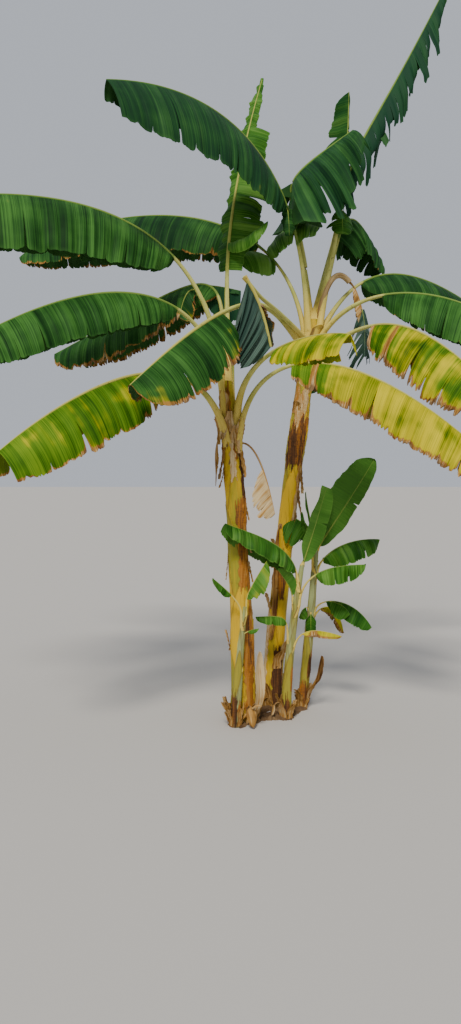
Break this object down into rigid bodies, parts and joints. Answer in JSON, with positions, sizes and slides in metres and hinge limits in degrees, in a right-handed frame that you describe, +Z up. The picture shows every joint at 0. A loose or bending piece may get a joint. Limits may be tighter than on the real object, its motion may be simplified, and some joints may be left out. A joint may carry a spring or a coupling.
{
  "type": "banana plant",
  "caption": "Clump of banana plants from one crown: leaning sheathed stems, young suckers and long arching wind-torn leaves.",
  "frame": {"origin": "centre of the main stem's flat cut, at ground level", "axes": "+Z up; +X to the right and +Y away as seen from the street side of the clump"},
  "size_m": [4.0171, 2.661, 4.7718],
  "materials": {
    "sheath": "satin, streaked ochre and brown sheaths",
    "sucker": "satin, waxy pale green",
    "green": "semi-gloss leaf",
    "young": "semi-gloss young leaf",
    "yellow": "satin ageing leaf",
    "dry": "matt dry leaf and sheath"
  },
  "bodies": {
    "root": {"main_stem": "sheath", "tall_stem": "sheath", "front_sucker": "sucker", "middle_sucker": "sucker", "right_sucker": "sucker", "root_crown": "dry", "main_leaf_upright": "young", "main_leaf_upper_left": "green", "main_leaf_mid_left": "green", "main_leaf_back_left": "green", "main_leaf_lower_left": "yellow", "main_leaf_centre": "yellow", "main_leaf_yellow": "yellow", "main_leaf_rear": "green", "main_leaf_withered": "dry", "main_leaf_dead": "dry", "tall_leaf_upright": "young", "tall_leaf_tattered": "green", "tall_leaf_top_left": "green", "tall_leaf_pleated": "green", "tall_leaf_back_left": "green", "tall_leaf_drooping": "green", "tall_leaf_upper_right": "green", "tall_leaf_right": "green", "tall_leaf_gold_right": "yellow", "tall_leaf_front_left": "green", "tall_leaf_rear": "green", "tall_stalk_broken": "dry", "tall_stalk_folded": "green", "tall_leaf_broken": "dry", "tall_leaf_folded": "green", "front_leaf_left": "young", "front_leaf_right": "young", "front_leaf_small": "young", "middle_leaf_upright": "young", "middle_leaf_left": "young", "middle_leaf_right": "young", "middle_leaf_inner": "young", "middle_leaf_low": "young", "middle_leaf_faded": "yellow", "right_leaf_tall": "young", "right_leaf_behind": "young", "right_leaf_spear": "young", "right_leaf_dark": "young", "right_leaf_high": "young", "right_leaf_arching": "young", "right_leaf_curled": "yellow", "right_leaf_small": "young", "right_leaf_hanging": "young", "main_dry_strip": "dry", "tall_dry_sheath": "dry", "front_dry_leaf": "dry", "front_dry_curl": "dry", "middle_dry_sheath": "dry", "right_dry_leaf": "dry"}
  },
  "joints": []
}
